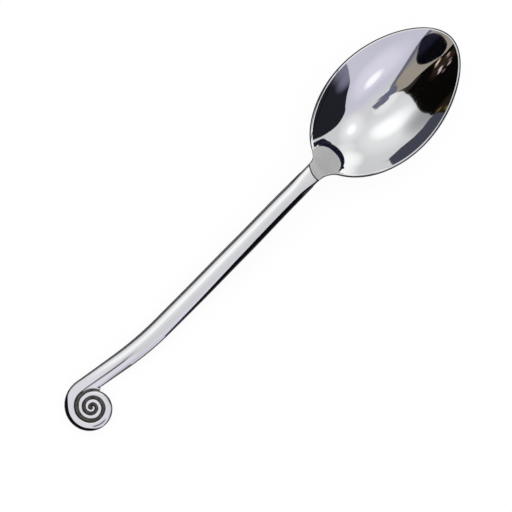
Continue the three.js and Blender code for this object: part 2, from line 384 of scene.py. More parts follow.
def outwardInset(plan, index, inset):  # the outline drawn in by the rounding
    outers = [path[1] for path in plan]
    before = outers[index - 1] if index else (outers[1][0], -outers[1][1])
    after = outers[index + 1] if index + 1 < len(outers) else (outers[-2][0], -outers[-2][1])
    tangent = Vector(after) - Vector(before)
    tangent.normalize()
    return outers[index][0] + tangent.y * inset, outers[index][1] - tangent.x * inset


def makeBowl():
    plan = bowlPlan()
    mesh = bmesh.new()

    def inner(depth, share):  # depth is along the wall, and share is of the rest of the way
        places = []
        for mouth, _, bend, _ in plan:
            length = math.hypot(dishCentre - mouth[0], mouth[1])
            x, y = pathPlace(mouth, bend, mix(depth / length, 1, share))
            places.append((x, y, rimHeight(x) if depth == 0 else innerHeight(x, y)))
        return bothSides(places)

    def pad(share):
        places = []
        for index, (mouth, _, _, (width, _)) in enumerate(plan):
            border = outwardInset(plan, index, width)
            x, y = mix(mouth[0], border[0], share), mix(mouth[1], border[1], share)
            places.append((x, y, rimHeight(x)))
        return bothSides(places)

    def edge(turn):
        places = []
        for index, (_, _, _, (width, depth)) in enumerate(plan):
            x, y = outwardInset(plan, index, width * (1 - math.sin(turn)))
            places.append((x, y, rimHeight(x) - depth * (1 - math.cos(turn))))
        return bothSides(places)

    def under(share):
        places = []
        for _, outer, bend, _ in plan:
            x, y = pathPlace(outer, bend, share)
            places.append((x, y, underHeight(x, y)))
        return bothSides(places)

    floorRings, wallRings = bowlShape["floorRings"], neckShape["wallRings"]
    rings = [inner(neckShape["wallSpan"], 1 - ring / floorRings) for ring in range(1, floorRings)]
    rings += [inner(neckShape["wallSpan"] * ring / wallRings, 0) for ring in range(wallRings, -1, -1)]
    rings += [pad(ring / neckShape["padRings"]) for ring in range(1, neckShape["padRings"])]
    quarter = math.pi / 2 / bowlShape["edgeRings"]
    rings += [edge(ring * quarter) for ring in range(bowlShape["edgeRings"] + 1)]
    rings += [under((ring / floorRings) ** bowlShape["underSpread"]) for ring in range(floorRings)]
    start, end = growLoops(mesh, rings)
    closeLoop(mesh, end, Vector((dishCentre, 0, 0)))
    closeLoop(mesh, start, Vector((dishCentre, 0, bowlShape["wall"])))
    slantSeam(mesh)
    strayAside(mesh.verts)
    piece = finishMesh(mesh, "bowl_polished")

    tang = bmesh.new()
    corner = bmesh.ops.create_cube(tang, size=1)["verts"]
    reach = neckShape["tangLength"] + neckShape["length"]
    bmesh.ops.scale(tang, vec=(reach, neckShape["tangWidth"], neckShape["tangHeight"]), verts=corner)
    middle = ((neckShape["length"] - neckShape["tangLength"]) / 2, 0, tangMiddle)
    bmesh.ops.translate(tang, vec=middle, verts=corner)
    joinPieces(piece, finishMesh(tang, "tang"))
    smoothPiece(piece)
    return piece


# Handle: stem, rising ridge and the plate of the scroll, in millimetres from the seam

handleShape = {
    "middleWidth": 7.9,
    "endWidth": 7.2,
    "squareness": 2.4,
    "neckRun": 9,  # length over which the neck's section becomes the stem's
    "reach": 121.1,  # from the seam to the scroll's centre
    "fallHeight": 9.5,  # control height of the fall to the scroll
    "bendStart": 80,
    "bendEnd": 103,
    "lean": 10,  # degrees
    "stemStations": 150,
    "stemSides": 72,
}
scrollShape = {
    "turns": 2.67,
    "innerRadius": 0.72,
    "innerPitch": 2,  # growth of the radius in a turn
    "pitchGrowth": 0.28,  # further growth, for each turn squared
    "ridgeWidths": (1, 1.65, 2.2),
    "ridgeWidening": ((0.2, 0.9), (1.4, 2.4)),  # in turns from the inner end
    "outerSide": 1.1,
    "outerFlank": 3.3,  # the ridge's outer side where the stem comes in
    "flankTurns": 1,
    "thickness": 5,
    "plateThickness": 3.1,
    "clearance": 0.25,  # between the ridge and the table
    "runOut": 28,  # length of stem over which the ridge rises out of it
    "startWidth": 2.5,
    "sink": 0.03,  # the ridge starts this far inside the stem
    "squareness": 3.2,
    "innerSquareness": 5,
    "shift": 0.1,
    "flankCover": 0.8,  # how far the ridge stands out over the stem's outer side
    "entryAngle": 75,
    "notchTurn": 0.15,  # the open end of the groove, beside the stem
    "notchRadius": 7.6,
    "stationsPerTurn": 90,
    "sides": 52,
    "endRings": 6,
    "turnStep": 0.01,  # for directions along the spiral
}


def oval(left, right, bottom, top, squareness, sides):
    points = []
    for side in range(sides):
        turn = side / sides * 2 * math.pi
        across = signedPower(math.cos(turn), 2 / squareness)
        rise = signedPower(math.sin(turn), 2 / squareness)
        points.append((across * (left if across > 0 else right), mix(bottom, top, (1 + rise) / 2)))
    return points


def barRing(place, direction, section):
    left = Vector((-direction.y, direction.x))
    return [(*(place + left * side), z) for side, z in section]


def spiralRadius(turnsLeft):
    growth = scrollShape["pitchGrowth"] * turnsLeft**2
    return scrollShape["innerRadius"] + scrollShape["innerPitch"] * turnsLeft + growth


def ridgeHalf(turnsLeft):
    inner, middle, outer = scrollShape["ridgeWidths"]
    first, second = (ease(turnsLeft, *span) for span in scrollShape["ridgeWidening"])
    return mix(mix(inner, middle, first), outer, second) / 2


def leanAt(distance):  # sideways place of the stem's centre line, and its slope
    start, end = handleShape["bendStart"], handleShape["bendEnd"]
    slope = math.tan(math.radians(handleShape["lean"]))
    bent = min(max(distance - start, 0), end - start)
    side = slope * bent**2 / (2 * (end - start)) + slope * max(distance - end, 0)
    return side, slope * bent / (end - start)


def fallAt(share):  # height of the stem's centre line
    neckMiddle = stemTop - neckShape["stemThickness"] / 2
    scrollMiddle = scrollShape["thickness"] / 2
    rest = 1 - share
    high = rest**3 * neckMiddle + 3 * rest**2 * share * handleShape["fallHeight"]
    return high + (3 * rest + share) * share**2 * scrollMiddle


entryTurn = math.radians(scrollShape["entryAngle"])
entryRadius = spiralRadius(scrollShape["turns"])
entryDistance = handleShape["reach"] - entryRadius * math.cos(entryTurn)
scrollCentre = Vector((-handleShape["reach"], leanAt(entryDistance)[0] - entryRadius * math.sin(entryTurn)))


def spiralPlace(turnsLeft):
    turn = entryTurn + (scrollShape["turns"] - turnsLeft) * 2 * math.pi
    return scrollCentre + spiralRadius(turnsLeft) * Vector((math.cos(turn), math.sin(turn)))


def spiralRing(turnsLeft, beyond=0, narrowing=1):
    step = scrollShape["turnStep"]
    direction = (spiralPlace(turnsLeft - step) - spiralPlace(turnsLeft + step)).normalized()
    half = ridgeHalf(turnsLeft) * narrowing
    flank = max(0, 1 - (scrollShape["turns"] - turnsLeft) / scrollShape["flankTurns"])
    section = oval(
        half,
        mix(min(half, scrollShape["outerSide"] * narrowing), scrollShape["outerFlank"], flank),
        scrollShape["clearance"],
        scrollShape["thickness"],
        mix(scrollShape["innerSquareness"], scrollShape["squareness"], flank),
        scrollShape["sides"],
    )
    return barRing(spiralPlace(turnsLeft) + direction * beyond, direction, section)


def stemStation(share):
    distance = mix(neckShape["seamGap"], entryDistance, share)
    side, slope = leanAt(distance)
    thickness = mix(neckShape["stemThickness"], scrollShape["thickness"], ease(share, 0, 1))
    across = 4 * share * (1 - share) * handleShape["middleWidth"]
    across += (1 - 2 * share) * ((1 - share) * neckShape["width"] - share * handleShape["endWidth"])
    run = ease(distance, entryDistance - scrollShape["runOut"], entryDistance)
    return {
        "place": Vector((-distance, side)),
        "direction": Vector((-1, slope)).normalized(),
        "middle": fallAt(share),
        "thickness": thickness,
        "half": across / 2,
        "run": run,
        "fromNeck": ease(distance, 0, handleShape["neckRun"]),
    }


def seamBulge(y):
    return neckShape["seamBulge"] * (1 - (2 * y / neckShape["width"]) ** 2)


def stemRing(share):
    at = stemStation(share)
    squareness = mix(neckShape["squareness"], handleShape["squareness"], at["fromNeck"])
    section = oval(
        at["half"] + at["run"] * scrollShape["shift"],
        mix(at["half"], scrollShape["outerFlank"] - scrollShape["flankCover"], at["run"]),
        at["middle"] - at["thickness"] / 2 + at["run"] * scrollShape["clearance"],
        mix(at["middle"] + at["thickness"] / 2, scrollShape["plateThickness"], at["run"]),
        squareness,
        handleShape["stemSides"],
    )
    ring = barRing(at["place"], at["direction"], section)
    return [(x - seamBulge(y) * (1 - at["fromNeck"]), y, z) for x, y, z in ring]


def ridgeRing(share):
    at = stemStation(share)
    buried = scrollShape["sink"] * (1 - at["run"])
    section = oval(
        mix(scrollShape["startWidth"] / 2, ridgeHalf(scrollShape["turns"]), at["run"]),
        mix(at["half"] - scrollShape["sink"], scrollShape["outerFlank"], at["run"]),
        at["middle"] - at["thickness"] / 2 + scrollShape["clearance"] + buried,
        at["middle"] + at["thickness"] / 2 - buried,
        mix(handleShape["squareness"], scrollShape["squareness"], at["run"]),
        scrollShape["sides"],
    )
    return barRing(at["place"], at["direction"], section)


def middleOf(places):
    return sum((Vector(place) for place in places), Vector()) / len(places)


def makeStem():
    mesh = bmesh.new()
    stations = handleShape["stemStations"]
    rings = [stemRing(station / stations) for station in range(stations + 1)]
    start, end = growLoops(mesh, rings)
    closeLoop(mesh, end, middleOf(rings[-1]))
    outside = mesh.verts[:]

    film = neckShape["brazeFilm"]  # the slot for the tang, with room for the braze
    half = Vector((neckShape["tangWidth"] / 2 + film, neckShape["tangHeight"] / 2 + film))
    mouth = []
    for x, y, z in rings[0]:
        reach = max(abs(y) / half.x, abs(z - tangMiddle) / half.y)
        y /= reach
        mouth.append((-neckShape["seamGap"] - seamBulge(y), y, tangMiddle + (z - tangMiddle) / reach))
    slotEnd = -neckShape["tangLength"] - film
    loop = extrudeLoop(mesh, start, mouth)
    loop = extrudeLoop(mesh, loop, [(slotEnd, y, z) for _, y, z in mouth])
    closeLoop(mesh, loop, Vector((slotEnd, 0, tangMiddle)))
    slantSeam(mesh)
    strayAside(outside)
    return finishMesh(mesh, "handle_polished")


def makeRidge():
    mesh = bmesh.new()
    stations = handleShape["stemStations"]
    ridgeStart = 1 - scrollShape["runOut"] / entryDistance
    shares = [station / stations for station in range(stations + 1)]
    rings = [ridgeRing(share) for share in shares if share > ridgeStart]
    steps = round(scrollShape["turns"] * scrollShape["stationsPerTurn"])
    rings += [spiralRing(scrollShape["turns"] * (1 - step / steps)) for step in range(1, steps + 1)]
    for ring in range(1, scrollShape["endRings"]):  # the inner end is round
        turn = ring / scrollShape["endRings"] * math.pi / 2
        rings.append(spiralRing(0, ridgeHalf(0) * math.sin(turn), math.cos(turn)))
    start, end = growLoops(mesh, rings)
    closeLoop(mesh, start, middleOf(rings[0]))
    closeLoop(mesh, end, middleOf(rings[-1]))
    strayAside(mesh.verts)
    return finishMesh(mesh, "ridge")


def makePlate():
    mesh = bmesh.new()
    steps = scrollShape["stationsPerTurn"]
    outline = []
    notch = scrollShape["notchTurn"]
    for step in range(round(steps * notch)):  # the open end of the groove, beside the stem
        share = step / (steps * notch)
        turn = entryTurn - (1 - share) * notch * 2 * math.pi
        reach = mix(scrollShape["notchRadius"], entryRadius, share)
        outline.append(scrollCentre + reach * Vector((math.cos(turn), math.sin(turn))))
    for step in range(round(steps * (1 - notch)) + 1):
        outline.append(spiralPlace(scrollShape["turns"] - step / steps))
    bottom = startLoop(mesh, [(*place, 0) for place in outline])
    top = extrudeLoop(mesh, bottom, [(*place, scrollShape["plateThickness"]) for place in outline])
    closeLoop(mesh, bottom, Vector((*scrollCentre, 0)))
    closeLoop(mesh, top, Vector((*scrollCentre, scrollShape["plateThickness"])))
    return finishMesh(mesh, "plate")


def makeHandle():
    piece = makeStem()
    joinPieces(piece, makeRidge(), makePlate())
    smoothPiece(piece)
    return piece


bowl = makeBowl()
print("bowl modelled:", len(bowl.data.polygons), "faces")
handle = makeHandle()
print("handle modelled:", len(handle.data.polygons), "faces")


# Materials

class Wire:  # one output socket, with the arithmetic of Math nodes
    def __init__(self, tree, socket=None):
        self.tree = tree
        self.socket = socket

    def node(self, kind, settings=None, sockets=None, output=0):
        made = self.tree.nodes.new("ShaderNode" + kind)
        for name, value in (settings or {}).items():
            if name == "stops":
                elements = made.color_ramp.elements
                for position, _ in value[len(elements):]:
                    elements.new(position)
                for element, (position, colour) in zip(elements, value):
                    element.position = position
                    element.color = (*colour, 1)
            else:
                setattr(made, name, value)
        for name, value in (sockets or {}).items():
            if isinstance(value, Wire):
                self.tree.links.new(value.socket, made.inputs[name])
            else:
                made.inputs[name].default_value = value
        return Wire(self.tree, made.outputs[output] if made.outputs else None)

    def maths(self, operation, *values):
        return self.node("Math", {"operation": operation}, dict(enumerate(values)))

    def __add__(self, other):
        return self.maths("ADD", self, other)

    def __sub__(self, other):
        return self.maths("SUBTRACT", self, other)

    def __rsub__(self, other):
        return self.maths("SUBTRACT", other, self)

    def __mul__(self, other):
        return self.maths("MULTIPLY", self, other)

    __radd__ = __add__
    __rmul__ = __mul__


def newMaterial(name):
    material = bpy.data.materials.new(name)
    material.use_nodes = True
    material.node_tree.nodes.clear()
    return material, Wire(material.node_tree)


def smooth(value, low, high):
    sockets = {"Value": value, "From Min": low, "From Max": high}
    return value.node("MapRange", {"interpolation_type": "SMOOTHSTEP"}, sockets)


def blendColours(share, first, second):
    return share.node("Mix", {"data_type": "RGBA"}, {0: share, 6: first, 7: second}, 2)


def noise(place, scale, detail):
    return place.node("TexNoise", {}, {"Vector": place, "Scale": scale, "Detail": detail})


def absolute(value):
    return value.maths("ABSOLUTE", value)


def lengthOf(away, side):
    square = away * away + side * side
    return square.maths("SQRT", square)


steelLook = {
    "tone": (0.83, 0.835, 0.85, 1),
    "cloudTone": (0.79, 0.795, 0.815, 1),
    "cloudScale": 38,
    "cloudEdge": (0.4, 0.7),
    "roughness": 0.03,
    "smudge": 0.012,
    "smudgeScale": 90,
    "smudgeEdge": (0.45, 0.75),
    "scratch": 0.018,
    "scratchSize": (110, 4200, 4200),
    "scratchTurns": (0, 34, -52),
    "scratchEdge": (0.66, 0.76),
    "bumpDepth": 3e-7,
    "seamTone": (0.02, 0.02, 0.025, 1),
    "seamWidth": (0.32 * mm, 0.16 * mm),
}


def steelWires(wire, scratchTurns):  # polished steel with faint clouds, smudges and fine scratches
    place = wire.node("TexCoord", output="Object")
    cloud = noise(place, steelLook["cloudScale"], 3)
    colour = blendColours(smooth(cloud, *steelLook["cloudEdge"]), steelLook["tone"], steelLook["cloudTone"])
    smudge = noise(place, steelLook["smudgeScale"], 5)
    scratches = 0
    for turn in scratchTurns:
        sockets = {"Vector": place, "Rotation": (0, 0, math.radians(turn)), "Scale": steelLook["scratchSize"]}
        lines = noise(wire.node("Mapping", {}, sockets), 1, 2)
        scratches = smooth(lines, *steelLook["scratchEdge"]) + scratches
    roughness = smooth(smudge, *steelLook["smudgeEdge"]) * steelLook["smudge"] + scratches * steelLook["scratch"]
    return place, colour, roughness + steelLook["roughness"], scratches


def axisOf(place, axis):
    return place.node("SeparateXYZ", {}, {0: place}, axis)


def seamShare(place):  # dark in the seam across the neck
    side = (axisOf(place, "Y") - driftAt(0) * mm) * (2 / (neckShape["width"] * mm))
    along = axisOf(place, "X") - (seamX + neckShape["seamShift"] * mm) - side * (neckShape["seamSlant"] * mm)
    along = along + (1 - side * side) * (neckShape["seamBulge"] * mm)
    return smooth(absolute(along), *steelLook["seamWidth"])


def steelOutput(wire, colour, roughness, scratches):
    sockets = {"Strength": 1, "Distance": steelLook["bumpDepth"], "Height": scratches}
    bump = wire.node("Bump", {"invert": True}, sockets)
    sockets = {"Base Color": colour, "Metallic": 1, "Roughness": roughness, "Normal": bump}
    wire.node("OutputMaterial", {}, {"Surface": wire.node("BsdfPrincipled", {}, sockets)})


padLook = {
    "tone": (0.61, 0.612, 0.62, 1),
    "roughness": 0.34,
    "halfWidth": 6.4 * mm,
    "end": 40.2 * mm,
    "height": 12.1 * mm,
    "fade": 0.2 * mm,
    "grainScale": 2600,
    "grainRoughness": 0.1,
}


def bowlMaterial():  # mirror steel with a satin tongue
    material, wire = newMaterial("mirror_steel_bowl")
    place, colour, roughness, scratches = steelWires(wire, steelLook["scratchTurns"])
    fade = padLook["fade"]
    pad = smooth(absolute(axisOf(place, "Y")), padLook["halfWidth"] + fade, padLook["halfWidth"])
    pad = pad * smooth(axisOf(place, "X"), padLook["end"] + fade, padLook["end"])
    pad = pad * smooth(axisOf(place, "Z"), padLook["height"], padLook["height"] + fade)
    grain = noise(place, padLook["grainScale"], 2)
    colour = blendColours(pad, colour, padLook["tone"])
    roughness = roughness + pad * (padLook["roughness"] + grain * padLook["grainRoughness"])
    colour = blendColours(seamShare(place), colour, steelLook["seamTone"])
    steelOutput(wire, colour, roughness, scratches + pad * grain)
    return material


patinaAndShadeLook = {
    "tone": (0.12, 0.115, 0.095, 1),
    "stainTone": (0.05, 0.049, 0.044, 1),
    # painted shade: near black on the groove's walls and its deepest floor
    "paintedWallShade": (0.015, 0.015, 0.016, 1),
    "roughness": 0.2,
    "height": (4.5 * mm, 3.9 * mm),
    "floor": (3.3 * mm, 3.14 * mm),
    "edge": (0.08, 0.24),  # shares of the pitch, from the middle of the groove, out to the painted shade on its walls
    "rim": 0.35 * mm,
    "run": (0.76, 0.86),  # shares of a turn over which the patina and painted shade run out into the open end
    "runWidth": 2.2,
    "stainScale": 700,
    "stainEdge": (0.4, 0.7),
    "stainRoughness": 0.15,
}
creaseShadeLook = {  # painted shade in the crease that runs from the scroll up the stem, in millimetres
    "start": Vector((-89.83, 3.83)),
    "end": Vector((-71.44, 0.45)),
    "drift": 0.65,
    "driftRun": (0.5, 1.3),
    "rise": (-0.05, 0.1),
    "fade": (1, 1.4),
    "halfWidth": 0.55,
    "height": (2.5, 3.2),
    "tone": (0.34, 0.34, 0.35, 1),
}
turnShadeLook = {  # a fine painted shade line along the edge of the scroll's outer turn, in millimetres and radians
    "middle": Vector((-92.42, -2.97)),
    "radius": 7.4,
    "shrink": 0.72,
    "from": -2.25,
    "rise": (-2.42, -2.2),
    "fade": (-1.72, -1.4),
    "halfWidth": 0.55,
    "height": (2.5, 3.2),
    "tone": (0.13, 0.13, 0.135, 1),
}


def paintedShadeLine(place, look, along, aside):  # a thin painted shade line on the top that rises and fades along its way
    line = 1 - smooth(absolute(aside), 0, look["halfWidth"] * mm)
    line = line * smooth(along, *look["rise"]) * (1 - smooth(along, *look["fade"]))
    return line * smooth(axisOf(place, "Z"), *(height * mm for height in look["height"]))


# painted shade in the crease beside the stem
def creaseShadeShare(place):
    start, end = creaseShadeLook["start"] * mm, creaseShadeLook["end"] * mm
    way = (end - start).normalized()
    away, side = axisOf(place, "X") - start.x, axisOf(place, "Y") - start.y
    along = (away * way.x + side * way.y) * (1 / (end - start).length)
    aside = side * way.x - away * way.y - smooth(along, *creaseShadeLook["driftRun"]) * (creaseShadeLook["drift"] * mm)
    return paintedShadeLine(place, creaseShadeLook, along, aside)


# painted shade along the edge of the outer turn
def turnLineShade(place):
    middle = turnShadeLook["middle"] * mm
    away, side = axisOf(place, "X") - middle.x, axisOf(place, "Y") - middle.y
    bearing = side.maths("ARCTAN2", side, away)
    aside = lengthOf(away, side) - turnShadeLook["radius"] * mm
    aside = aside + (bearing - turnShadeLook["from"]) * (turnShadeLook["shrink"] * mm)
    return paintedShadeLine(place, turnShadeLook, bearing, aside)


def handleMaterial():  # mirror steel, with patina and painted shade in the grooves of the scroll, and painted shade lines on the crease and outer turn
    material, wire = newMaterial("mirror_steel_handle")
    place, colour, roughness, scratches = steelWires(wire, steelLook["scratchTurns"][:1])
    away = axisOf(place, "X") - (seamX + scrollCentre.x * mm)
    side = axisOf(place, "Y") - scrollCentre.y * mm
    radius = lengthOf(away, side)
    turn = (side.maths("ARCTAN2", side, away) - entryTurn) * (0.5 / math.pi)
    turn = turn.maths("FRACT", turn)
    left = scrollShape["turns"] - turn
    growth, pitch = scrollShape["pitchGrowth"], scrollShape["innerPitch"]
    outer = left * left * growth + left * pitch + scrollShape["innerRadius"]
    outer = outer + smooth(turn, *patinaAndShadeLook["run"]) * patinaAndShadeLook["runWidth"]
    groove = smooth(outer * mm - radius, 0, patinaAndShadeLook["rim"])
    groove = groove * smooth(axisOf(place, "Z"), *patinaAndShadeLook["height"])
    stain = noise(place, patinaAndShadeLook["stainScale"], 4)
    dark = blendColours(smooth(stain, *patinaAndShadeLook["stainEdge"]), patinaAndShadeLook["tone"], patinaAndShadeLook["stainTone"])
    root = radius * (4 * growth / mm) + (pitch**2 - 4 * growth * scrollShape["innerRadius"])
    phase = (root.maths("SQRT", root) - pitch) * (0.5 / growth) + turn - scrollShape["turns"]
    phase = phase.maths("FRACT", phase) - 0.5  # 0 in the middle of the groove
    # painted shade: the groove's walls and its deepest floor turn near black
    dark = blendColours(smooth(absolute(phase), *patinaAndShadeLook["edge"]), dark, patinaAndShadeLook["paintedWallShade"])
    dark = blendColours(smooth(axisOf(place, "Z"), *patinaAndShadeLook["floor"]), patinaAndShadeLook["paintedWallShade"], dark)
    # painted shade lines along the crease beside the stem and on the scroll's outer turn
    colour = blendColours(creaseShadeShare(place), colour, creaseShadeLook["tone"])
    colour = blendColours(turnLineShade(place), colour, turnShadeLook["tone"])
    colour = blendColours(groove, colour, dark)
    colour = blendColours(seamShare(place), colour, steelLook["seamTone"])
    roughness = roughness + groove * (patinaAndShadeLook["roughness"] + stain * patinaAndShadeLook["stainRoughness"])
    steelOutput(wire, colour, roughness, scratches + groove * stain)
    return material


brazeLook = {
    "tone": (0.8, 0.74, 0.6, 1),
    "heatTone": (0.42, 0.36, 0.3, 1),
    "heatEdge": (0.4, 0.7),
    "scale": 900,
    "roughness": 0.3,
    "flowRoughness": 0.2,
}


def brazeMaterial():  # silver braze, stained by the heat
    material, wire = newMaterial("silver_braze")
    place = wire.node("TexCoord", output="Object")
    flow = noise(place, brazeLook["scale"], 4)
    colour = blendColours(smooth(flow, *brazeLook["heatEdge"]), brazeLook["tone"], brazeLook["heatTone"])
    steelOutput(wire, colour, flow * brazeLook["flowRoughness"] + brazeLook["roughness"], flow)
    return material


def dress(piece, material):
    piece.data.materials.clear()
    piece.data.materials.append(material)


dress(bowl, bowlMaterial())
dress(handle, handleMaterial())
dress(frame["nodes"]["braze_sleeve"], brazeMaterial())
print("materials made")

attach(bowl, "root")
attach(handle, "root")
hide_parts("bowl")
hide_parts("handle")

# Stage: a white floor, a soft white room, and cards, flags and sheets of painted floor shade that only the metal sees

view = {"distance": 0.8, "width": 0.1933, "aim": (-0.0082, -0.00642, 0.007), "turn": -45}
dome = {"centre": (seamX + dishCentre * mm, 0, bowlShape["wall"] * mm), "radius": 0.1, "cornerSteps": 5, "rings": 6}
plainWhite = (1, 1, 1, 1)


def stageObject(name, mesh, material):
    data = bpy.data.meshes.new(name)
    mesh.to_mesh(data)
    mesh.free()
    made = bpy.data.objects.new(name, data)
    made.data.materials.append(material)
    bpy.context.scene.collection.objects.link(made)
    return made


def flatObject(name, outlines, material):
    mesh = bmesh.new()
    for outline in outlines:
        corners = [bmesh.ops.create_vert(mesh, co=place)["vert"][0] for place in outline]
        bmesh.ops.contextual_create(mesh, geom=corners)
    return stageObject(name, mesh, material)


def onlyForMetal(card):
    card.visible_camera = False
    card.visible_diffuse = False
    card.visible_shadow = False


def metalCard(name, outlines, material):  # flat panels, in millimetres
    panels = [[Vector(corner) * mm for corner in outline] for outline in outlines]
    onlyForMetal(flatObject(name, panels, material))


def towards(bearing, fromTop):  # bearing from the picture's right, and angle from straight up
    turn, away = math.radians(bearing + view["turn"]), math.radians(fromTop)
    return Vector((math.sin(away) * math.cos(turn), math.sin(away) * math.sin(turn), math.cos(away)))


def withPatches(wire, direction, colour, patches):  # soft round patches, each a place, a spread and a tone
    for at, spread, tone in patches:
        sockets = {0: direction, 1: towards(*at)}
        facing = wire.node("VectorMath", {"operation": "DOT_PRODUCT"}, sockets, "Value")
        inner, outer = (math.cos(math.radians(angle)) for angle in spread)
        colour = blendColours(smooth(facing, outer, inner), colour, (*tone, 1))
    return colour


def emit(material, wire, colour):
    wire.node("OutputMaterial", {}, {"Surface": wire.node("Emission", {}, {"Color": colour, "Strength": 1})})
    material.cycles.emission_sampling = "NONE"
    return material


def glow(name, colour, patches=()):  # an even tone, with patches by the direction from the bowl
    material, wire = newMaterial(name)
    place = wire.node("TexCoord", output="Object")
    away = wire.node("VectorMath", {"operation": "SUBTRACT"}, {0: place, 1: dome["centre"]})
    direction = wire.node("VectorMath", {"operation": "NORMALIZE"}, {0: away})
    return emit(material, wire, withPatches(wire, direction, (*colour, 1), patches))


floorLook = {"halfSize": 3, "colour": (0.95, 0.95, 0.95, 1), "shadowShare": 0.14, "white": 1.05}


def whenSeen(wire):  # 1 for what the camera, metal or glass sees
    rays = [wire.node("LightPath", output=f"Is {kind} Ray") for kind in ("Camera", "Glossy", "Transmission")]
    return rays[0].maths("MAXIMUM", rays[0], rays[1].maths("MAXIMUM", rays[1], rays[2]))


floorWhite, wire = newMaterial("floor_white")
lit = wire.node("BsdfDiffuse", {}, {"Color": floorLook["colour"]})
white = wire.node("Emission", {}, {"Color": plainWhite, "Strength": floorLook["white"]})
shader = wire.node("MixShader", {}, {0: whenSeen(wire) * (1 - floorLook["shadowShare"]), 1: lit, 2: white})
wire.node("OutputMaterial", {}, {"Surface": shader})
reach = floorLook["halfSize"]
flatObject("floor", [[(-reach, -reach, 0), (reach, -reach, 0), (reach, reach, 0), (-reach, reach, 0)]], floorWhite)

# Cards on a dome over the bowl, each corner a bearing and an angle from straight up
cards = {
    "flag_right": {
        "corners": [(-34, 76), (-31, 63), (-24, 56), (-16, 50), (-7, 46), (5, 54), (9, 73), (8, 84), (5, 94),
                    (-20, 95), (-38, 94), (-36, 84)],
        "colour": (0.0165, 0.0175, 0.0235),
        "patches": [((-37, 72), (4, 15), (0.21, 0.21, 0.285))],
    },
    "flag_tip": {
        "corners": [(10, 84), (10, 78), (11, 74), (13, 69), (18, 65), (24, 61), (31, 60), (40, 59), (52, 60),
                    (62, 69), (68, 76), (66, 94), (36, 96), (10, 94)],
        "colour": (0.012, 0.013, 0.03),
    },
    "flag_behind": {
        "corners": [(109, 81.5), (112.5, 77), (116, 74), (120, 72), (124, 70.5), (129, 68), (133.5, 64.5), (137, 70),
                    (137, 84), (130, 92), (117, 88)],
        "colour": (0.065, 0.068, 0.092),
    },
    "flag_left": {
        "corners": [(100, 3), (127, 6), (133, 11), (136.5, 17), (137, 23), (136.5, 30), (135.5, 37), (134.5, 44),
                    (134, 51), (134, 58), (133.5, 64), (136, 72), (141, 77), (152, 73), (165, 60), (178, 45),
                    (194, 36), (196, 28), (185, 23), (182, 18), (181, 14), (170, 9), (146, 7)],
        "colour": (0.003, 0.0025, 0.002),
        "patches": [
            ((139, 67), (1, 8), (0.02, 0.015, 0.009)),
            ((135.5, 65), (0, 1.4), (0.17, 0.12, 0.035)),
            ((166, 28), (2, 8), (0.03, 0.019, 0.012)),
            ((176, 21), (0, 1.3), (0.75, 0.55, 0.42)),
            ((172, 21), (0, 1.5), (0.95, 0.75, 0.6)),
            ((167, 22), (0, 1.2), (0.5, 0.36, 0.3)),
            ((159, 29), (0, 1.4), (0.95, 0.75, 0.75)),
            ((156, 30.5), (0, 1.3), (0.8, 0.6, 0.64)),
            ((155, 34.5), (0, 1), (0.3, 0.21, 0.2)),
            ((160, 35), (0, 1.3), (0.6, 0.48, 0.48)),
            ((164, 33), (0, 1.1), (0.35, 0.25, 0.22)),
            ((175, 27), (0, 1.3), (0.7, 0.5, 0.42)),
            ((171, 28.5), (0, 1.1), (0.3, 0.2, 0.16)),
            ((150, 8), (1, 5), (0.03, 0.028, 0.026)),
        ],
    },
    "flag_below": {
        "corners": [(291, 37), (282, 34), (258, 25), (211, 21), (187, 21), (189, 16), (210, 10), (263, 10), (285, 17),
                    (290, 25), (292, 33)],
        "colour": (0.0025, 0.0026, 0.004),
        "patches": [((-72, 28), (2, 13), (0.012, 0.012, 0.026))],
    },
    "card_beige": {
        "corners": [(282, 46), (284.5, 40), (287.5, 35), (290, 29), (293, 21), (301, 14), (318, 8), (18, 2), (100, 3),
                    (146, 9), (170, 12), (182, 18), (188, 25), (200, 31), (220, 37), (240, 41), (270, 45)],
        "colour": (0.37, 0.325, 0.275),
        "patches": [
            ((-75, 42), (4, 16), (0.37, 0.37, 0.375)),
            ((-66, 20), (2, 8), (0.3, 0.285, 0.28)),
        ],
        "further": 0.002,
    },
    "card_spur_edge": {
        "corners": [(286, 48), (288.8, 42), (292.3, 36), (295, 29), (299.6, 21), (309, 14), (329, 8), (28, 3),
                    (100, 1), (200, 1), (280, 10), (283, 30)],
        "colour": (0.165, 0.165, 0.195),
        "further": 0.004,
    },
}
slate = {
    "corners": [(2, 9), (29, 6), (46, 5), (49, 4), (53, 2), (328, 4), (323, 8), (340, 7), (20, 4),
                (359, 6), (354, 8)],
    "colour": (0.155, 0.158, 0.215),
}


def domePlace(flat, further=0):  # a place on the dome from its bearing and angle on a flat chart
    way = towards(math.degrees(math.atan2(flat.y, flat.x)), flat.length)
    return Vector(dome["centre"]) + way * (dome["radius"] + further)


def chart(corners):
    places = [(math.radians(bearing), away) for bearing, away in corners]
    return [Vector((away * math.cos(turn), away * math.sin(turn))) for turn, away in places]


def roundedOutline(corners, steps):  # a smooth closed curve through the corners
    points = []
    for index, corner in enumerate(corners):
        before, after = corners[index - 1], corners[(index + 1) % len(corners)]
        beyond = corners[(index + 2) % len(corners)]
        for step in range(steps):
            share = step / steps
            start, end = (after - before) / 2, (beyond - corner) / 2
            curve = corner * (1 + 2 * share) * (1 - share) ** 2 + after * (3 - 2 * share) * share**2
            points.append(curve + start * share * (1 - share) ** 2 + end * share**2 * (share - 1))
    return points


